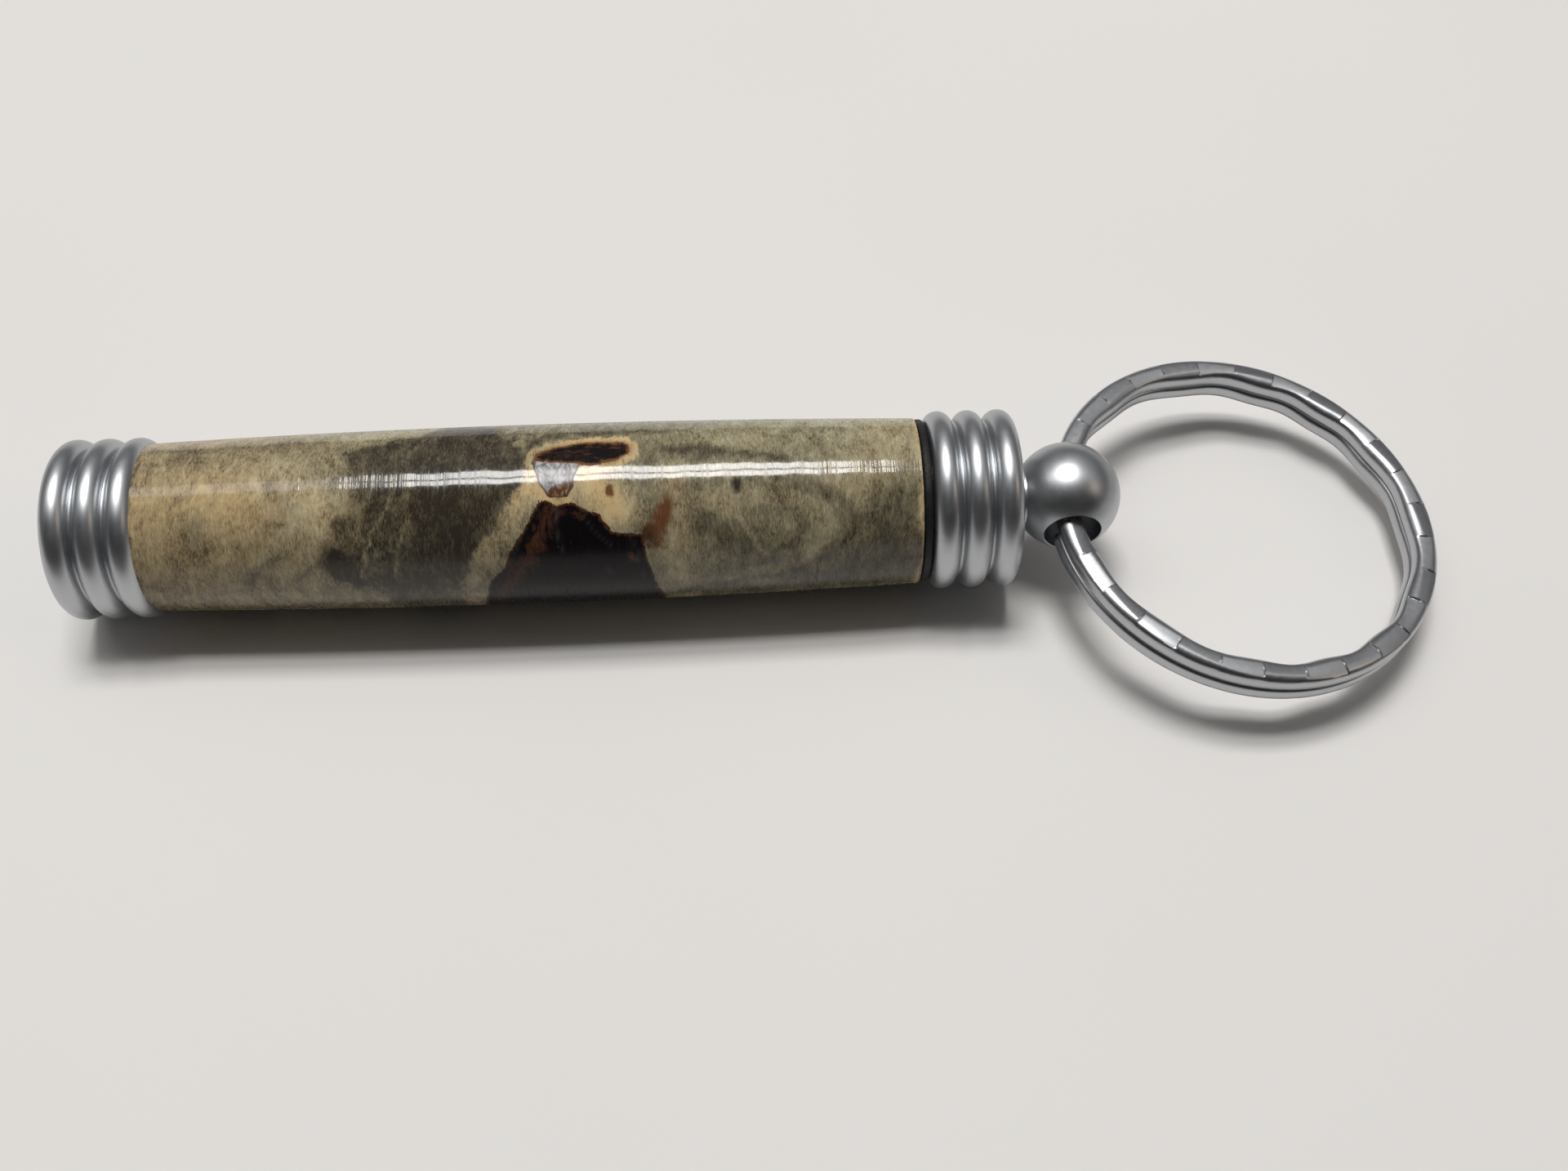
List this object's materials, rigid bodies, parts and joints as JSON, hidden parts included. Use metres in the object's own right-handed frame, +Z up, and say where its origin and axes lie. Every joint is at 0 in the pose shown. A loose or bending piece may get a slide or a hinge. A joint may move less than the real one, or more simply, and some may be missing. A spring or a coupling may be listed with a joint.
{
  "type": "secret compartment keychain",
  "caption": "Turned burl-wood barrel on a brass tube, closed by a beaded screw cap with a black seal, a ball and a hammered split key ring.",
  "frame": {"origin": "centre of the flat outer end of the fixed cap, on the barrel's axis", "axes": "+X along the barrel towards the key ring, +Z up as it lies on its side, +Y across, away from the camera"},
  "size_m": [0.1096, 0.032, 0.0142],
  "materials": {
    "satin_chrome": "satin, with polished grooves",
    "brass": "plain turned brass",
    "burl_wood": "grey-tan burl under a thick gloss coat",
    "bark": "dark bark under the same gloss coat",
    "resin": "grey clouded resin, polished",
    "black_rubber": "black, slightly rough",
    "hammered_steel": "hammered and burnished"
  },
  "bodies": {
    "barrel": {"end_cap": "satin_chrome", "brass_tube": "brass", "wood_barrel": "burl_wood", "bark_inclusion": "bark", "bark_lens": "bark", "resin_fill": "resin", "threaded_collar": "brass"},
    "seal": {"seal_ring": "black_rubber"},
    "cap": {"screw_cap": "satin_chrome", "threaded_plug": "brass", "ball_stud": "satin_chrome"},
    "ring": {"split_ring": "hammered_steel"}
  },
  "joints": [
    {"name": "cap_travel", "type": "slide", "parent": "barrel", "child": "seal", "axis": [1, 0, 0], "range_m": [0, 0.0121]},
    {"name": "cap_turn", "type": "hinge", "parent": "seal", "child": "cap", "pos_m": [0.0667, 0, 0], "axis": [1, 0, 0], "range_deg": [0, 4320]},
    {"name": "ring_swing", "type": "hinge", "parent": "cap", "child": "ring", "pos_m": [0.07915, 0, 0], "axis": [0, -1, 0], "range_deg": [-152, 166]}
  ],
  "couplings": [
    {"joint": "cap_travel", "follows": "cap_turn", "m_per_rad": 0.00015915}
  ]
}
